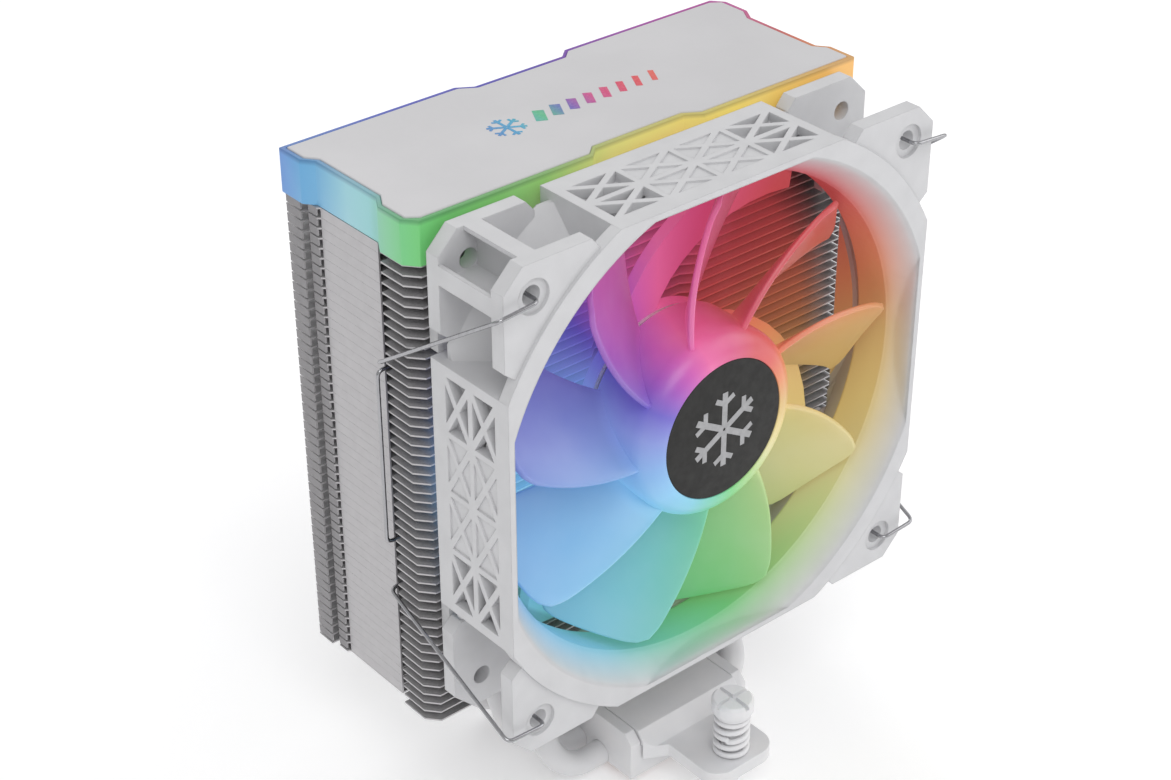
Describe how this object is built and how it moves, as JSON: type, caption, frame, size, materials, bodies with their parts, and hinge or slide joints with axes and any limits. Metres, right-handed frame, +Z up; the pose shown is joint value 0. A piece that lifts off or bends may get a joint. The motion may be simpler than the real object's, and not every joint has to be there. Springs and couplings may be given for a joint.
{
  "type": "cpu tower cooler",
  "caption": "Tower heat sink for a processor with folded fins on bent heat pipes, a clipped-on lit fan, a lit cover on top and a sprung mounting bar on its base.",
  "frame": {"origin": "centre of the cold plate's contact face", "axes": "+Z up the tower, away from the processor; the fan faces -Y; +X to the right seen from the fan's side"},
  "size_m": [0.127, 0.0946, 0.1591],
  "materials": {
    "copper": "lapped copper",
    "white_metal": "satin white paint",
    "white_pipe": "satin white paint over copper",
    "fin_metal": "thin white coating over sheet aluminium",
    "white_rubber": "matt",
    "steel": "bright",
    "screw_metal": "satin white",
    "spring_steel": "satin white",
    "white_plastic": "matt",
    "frosted_band": "frosted translucent",
    "board_white": "white solder mask",
    "top_plate": "fine satin",
    "fan_plastic": "fine matt texture",
    "brass": "turned",
    "dark_metal": "dark",
    "coil": "enamelled copper wire",
    "board_green": "solder mask",
    "frosted_rotor": "frosted translucent",
    "badge": "satin",
    "clip_steel": "polished wire"
  },
  "bodies": {
    "tower": {"cold_plate": "copper", "base_block": "white_metal", "heat_pipe_1": "white_pipe", "heat_pipe_2": "white_pipe", "heat_pipe_3": "white_pipe", "heat_pipe_4": "white_pipe", "heat_pipe_5": "white_pipe", "fin_stack": "fin_metal", "fin_rubber_strips": "white_rubber", "crossbar": "white_metal", "crossbar_screws": "steel", "front_spring": "spring_steel", "rear_spring": "spring_steel", "cover_tray": "white_plastic", "light_diffuser": "frosted_band", "cover_led_board": "board_white", "cover_screws": "steel", "top_plate": "top_plate", "fan_frame": "fan_plastic", "bearing_tube": "brass", "bearing_sleeve": "brass", "stator_core": "dark_metal", "stator_coils": "coil", "motor_board": "board_green", "led_board": "board_white"},
    "rotor": {"impeller": "frosted_rotor", "hub_badge": "badge", "rotor_yoke": "steel", "magnet_ring": "dark_metal", "rotor_shaft": "steel", "shaft_retainer": "white_plastic"},
    "front_screw_carrier": {"front_retaining_ring": "steel"},
    "front_screw": {"front_spring_screw": "screw_metal"},
    "rear_screw_carrier": {"rear_retaining_ring": "steel"},
    "rear_screw": {"rear_spring_screw": "screw_metal"},
    "left_clip": {"left_wire_clip": "clip_steel"},
    "right_clip": {"right_wire_clip": "clip_steel"}
  },
  "joints": [
    {"name": "rotor_spin", "type": "hinge", "parent": "tower", "child": "rotor", "pos_m": [0, -0.024, 0.098], "axis": [0, -1, 0], "continuous": true},
    {"name": "front_screw_press", "type": "slide", "parent": "tower", "child": "front_screw_carrier", "axis": [0, 0, -1], "range_m": [0, 0.005], "stiffness_N_per_m": 1500, "springref_m": -0.002, "deforming": ["front_spring"]},
    {"name": "front_screw_turn", "type": "hinge", "parent": "front_screw_carrier", "child": "front_screw", "pos_m": [0, -0.0415, 0.02], "axis": [0, 0, -1], "continuous": true},
    {"name": "rear_screw_press", "type": "slide", "parent": "tower", "child": "rear_screw_carrier", "axis": [0, 0, -1], "range_m": [0, 0.005], "stiffness_N_per_m": 1500, "springref_m": -0.002, "deforming": ["rear_spring"]},
    {"name": "rear_screw_turn", "type": "hinge", "parent": "rear_screw_carrier", "child": "rear_screw", "pos_m": [0, 0.0415, 0.02], "axis": [0, 0, -1], "continuous": true},
    {"name": "left_clip_swing", "type": "hinge", "parent": "tower", "child": "left_clip", "pos_m": [-0.0527, -0.0376, 0.098], "axis": [0, 0, 1], "range_deg": [0, 12]},
    {"name": "right_clip_swing", "type": "hinge", "parent": "tower", "child": "right_clip", "pos_m": [0.0527, -0.0376, 0.098], "axis": [0, 0, -1], "range_deg": [0, 12]}
  ]
}
